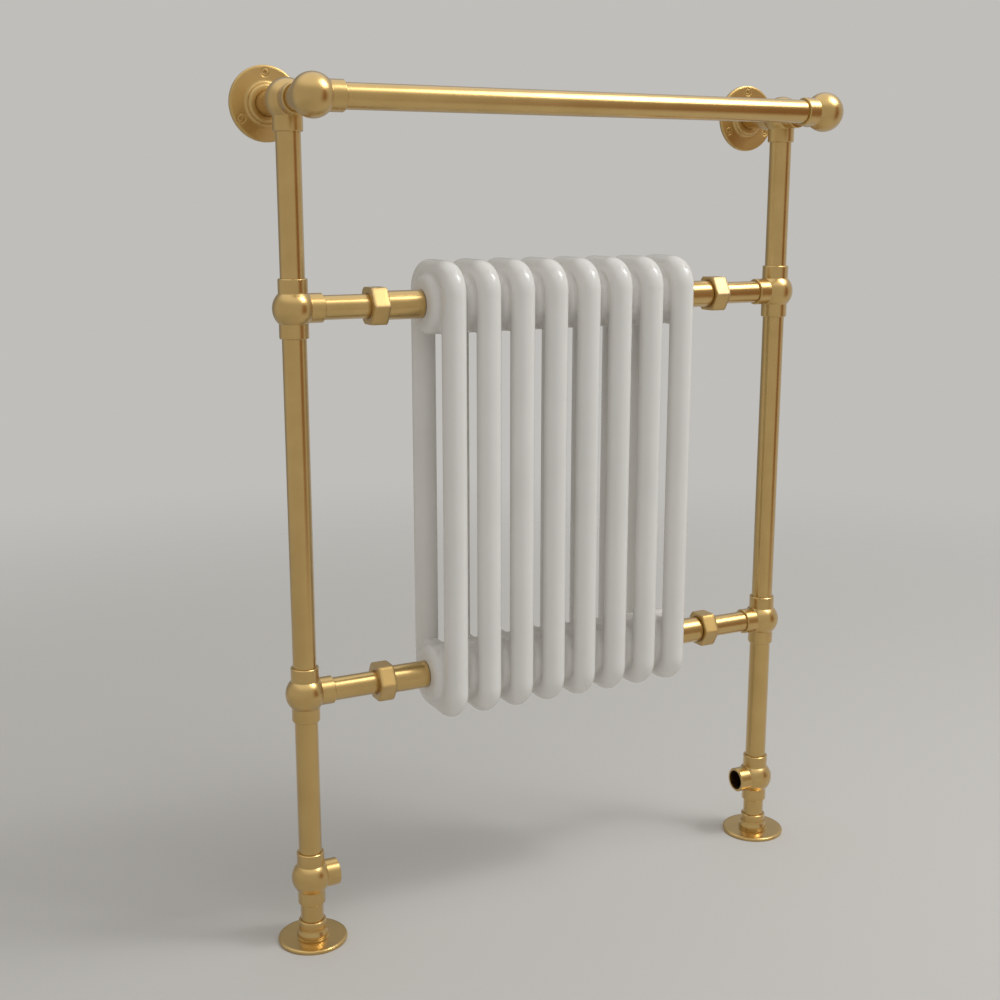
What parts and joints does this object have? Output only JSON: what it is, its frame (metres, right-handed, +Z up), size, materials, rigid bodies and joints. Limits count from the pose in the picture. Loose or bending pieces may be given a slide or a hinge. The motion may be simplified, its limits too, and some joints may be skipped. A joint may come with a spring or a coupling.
{
  "type": "column towel radiator",
  "caption": "Free-standing brass towel rail frame with ball fittings, wall flanges and a white column radiator held between its posts by pipe unions.",
  "frame": {"origin": "on the floor, at the middle of the part's box in X and Y", "axes": "+X along the wall to the right as seen from the room, +Y to the wall, +Z up"},
  "size_m": [0.676, 0.1662, 0.933],
  "materials": {
    "brushed_brass": "brushed, lacquered",
    "white_enamel": "gloss enamel on steel",
    "steel_nipple": "plain turned steel",
    "sealing_fibre": "matt sealing ring"
  },
  "bodies": {
    "radiator": {"air_vent": "brushed_brass", "connecting_pipe_lower_left": "brushed_brass", "connecting_pipe_lower_right": "brushed_brass", "connecting_pipe_upper_left": "brushed_brass", "connecting_pipe_upper_right": "brushed_brass", "floor_flange_left": "brushed_brass", "floor_flange_right": "brushed_brass", "foot_tube_left": "brushed_brass", "foot_tube_right": "brushed_brass", "lower_nipples": "steel_nipple", "lower_post_left": "brushed_brass", "lower_post_right": "brushed_brass", "lower_tee_left": "brushed_brass", "lower_tee_right": "brushed_brass", "middle_post_left": "brushed_brass", "middle_post_right": "brushed_brass", "radiator_section_1": "white_enamel", "radiator_section_2": "white_enamel", "radiator_section_3": "white_enamel", "radiator_section_4": "white_enamel", "radiator_section_5": "white_enamel", "radiator_section_6": "white_enamel", "radiator_section_7": "white_enamel", "radiator_section_8": "white_enamel", "rail_ball_left": "brushed_brass", "rail_ball_right": "brushed_brass", "rail_bracket_left": "brushed_brass", "rail_bracket_right": "brushed_brass", "section_gaskets": "sealing_fibre", "top_tee_left": "brushed_brass", "top_tee_right": "brushed_brass", "towel_rail": "brushed_brass", "union_tail_lower_left": "brushed_brass", "union_tail_lower_right": "brushed_brass", "union_tail_upper_left": "brushed_brass", "union_tail_upper_right": "brushed_brass", "union_washers": "sealing_fibre", "upper_nipples": "steel_nipple", "upper_post_left": "brushed_brass", "upper_post_right": "brushed_brass", "upper_tee_left": "brushed_brass", "upper_tee_right": "brushed_brass", "valve_tee_left": "brushed_brass", "valve_tee_right": "brushed_brass", "wall_flange_left": "brushed_brass", "wall_flange_right": "brushed_brass", "wall_stub_left": "brushed_brass", "wall_stub_right": "brushed_brass"},
    "union_nut_upper_left": {"union_nut_upper_left": "brushed_brass"},
    "union_nut_upper_right": {"union_nut_upper_right": "brushed_brass"},
    "union_nut_lower_left": {"union_nut_lower_left": "brushed_brass"},
    "union_nut_lower_right": {"union_nut_lower_right": "brushed_brass"},
    "bleed_screw": {"bleed_screw": "brushed_brass"}
  },
  "joints": [
    {"name": "union_nut_upper_left_turn", "type": "hinge", "parent": "radiator", "child": "union_nut_upper_left", "pos_m": [-0.208, 0.01315, 0.693], "axis": [-1, 0, 0], "range_deg": [0, 2160]},
    {"name": "union_nut_upper_right_turn", "type": "hinge", "parent": "radiator", "child": "union_nut_upper_right", "pos_m": [0.208, 0.01315, 0.693], "axis": [1, 0, 0], "range_deg": [0, 2160]},
    {"name": "union_nut_lower_left_turn", "type": "hinge", "parent": "radiator", "child": "union_nut_lower_left", "pos_m": [-0.208, 0.01315, 0.2855], "axis": [-1, 0, 0], "range_deg": [0, 2160]},
    {"name": "union_nut_lower_right_turn", "type": "hinge", "parent": "radiator", "child": "union_nut_lower_right", "pos_m": [0.208, 0.01315, 0.2855], "axis": [1, 0, 0], "range_deg": [0, 2160]},
    {"name": "bleed_screw_turn", "type": "hinge", "parent": "radiator", "child": "bleed_screw", "pos_m": [0.325, 0.01315, 0.895], "axis": [1, 0, 0], "range_deg": [0, 360]}
  ]
}
